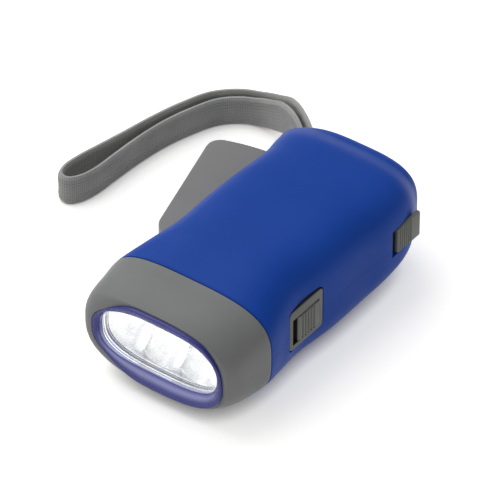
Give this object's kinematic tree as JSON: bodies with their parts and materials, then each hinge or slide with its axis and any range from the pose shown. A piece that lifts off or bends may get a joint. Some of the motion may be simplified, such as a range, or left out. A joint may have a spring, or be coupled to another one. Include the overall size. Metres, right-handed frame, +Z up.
{
  "type": "hand crank flashlight",
  "caption": "Pocket flashlight with a squeeze lever that drives a dynamo, a light switch, a lever lock and a wrist strap.",
  "frame": {"origin": "middle of the flat patch under the body that the flashlight rests on", "axes": "-Y the way the lamp shines, +Z up out of the printed face, +X the side with the two sliders, -X the side that the hand lever swings out on"},
  "size_m": [0.1092, 0.1248, 0.0367],
  "materials": {
    "shell_blue": "satin royal blue ABS with a faint moulded grain",
    "head_grey": "matte grey ABS",
    "lever_grey": "matte grey ABS",
    "slider_grey": "matte dark grey, ribbed",
    "plate_grey": "matte dark grey",
    "ring_violet": "glossy translucent blue-violet",
    "lens_clear": "polished clear plastic",
    "lamp_clear": "water-clear epoxy",
    "mirror_film": "vacuum-plated mirror",
    "gear_white": "off-white acetal",
    "bright_steel": "bright zinc-plated",
    "cell_steel": "nickel-plated can",
    "flywheel_steel": "turned",
    "magnet_dark": "dark sintered",
    "core_iron": "stamped sheets",
    "coil_copper": "enamelled copper wire",
    "black_plastic": "matte black",
    "capacitor_sleeve": "glossy sleeve",
    "board_green": "green solder mask",
    "strap_webbing": "woven grey webbing"
  },
  "bodies": {
    "case": {"upper_shell": "shell_blue", "lower_shell": "shell_blue", "head_bezel": "head_grey", "switch_plate": "plate_grey", "gear_plate": "plate_grey", "lens_ring": "ring_violet", "front_lens": "lens_clear", "led_left": "lamp_clear", "led_middle": "lamp_clear", "led_right": "lamp_clear", "reflector": "mirror_film", "lever_pin": "bright_steel", "lever_spring": "bright_steel", "gear_shaft": "bright_steel", "strap_pin": "bright_steel", "plate_screw_right": "bright_steel", "plate_screw_rear": "bright_steel", "case_screw_front_left": "bright_steel", "case_screw_front_right": "bright_steel", "case_screw_rear_left": "bright_steel", "case_screw_rear_right": "bright_steel", "battery_contact_left": "bright_steel", "battery_contact_right": "bright_steel", "battery_cell_1": "cell_steel", "battery_cell_2": "cell_steel", "battery_cell_3": "cell_steel", "stator_core": "core_iron", "coil_winding": "coil_copper", "coil_bobbin": "black_plastic", "battery_cradle": "black_plastic", "slide_switch": "black_plastic", "rectifier_chip": "black_plastic", "capacitor": "capacitor_sleeve", "circuit_board": "board_green", "led_board": "board_green", "wrist_strap": "strap_webbing"},
    "lever": {"lever": "lever_grey"},
    "drive": {"drive_pinion": "gear_white", "drive_wheel": "gear_white"},
    "rotor": {"rotor_pinion": "gear_white", "flywheel": "flywheel_steel", "rotor_magnet": "magnet_dark", "rotor_shaft": "bright_steel"},
    "lock": {"lock_slider": "slider_grey"},
    "switch": {"switch_knob": "slider_grey"}
  },
  "joints": [
    {"name": "rotor_spin", "type": "hinge", "parent": "case", "child": "rotor", "pos_m": [0.0093, 0.03228, 0.0145], "axis": [0, 0, -1], "range_deg": [0, 586.6]},
    {"name": "drive_spin", "type": "hinge", "parent": "case", "child": "drive", "pos_m": [0.00198, 0.0185, 0.0214], "axis": [0, 0, -1], "range_deg": [-176, 0]},
    {"name": "lever_squeeze", "type": "hinge", "parent": "case", "child": "lever", "pos_m": [-0.016, -0.026, 0.0182], "axis": [0, 0, -1], "range_deg": [0, 16], "stiffness_Nm_per_rad": 0.3, "springref_deg": -22.92},
    {"name": "lock_slide", "type": "slide", "parent": "case", "child": "lock", "axis": [0, 1, 0], "range_m": [0, 0.004]},
    {"name": "switch_slide", "type": "slide", "parent": "case", "child": "switch", "axis": [0, -1, 0], "range_m": [0, 0.002]}
  ],
  "couplings": [
    {"joint": "drive_spin", "follows": "rotor_spin", "ratio": -0.3},
    {"joint": "lever_squeeze", "follows": "rotor_spin", "ratio": 0.027273}
  ]
}
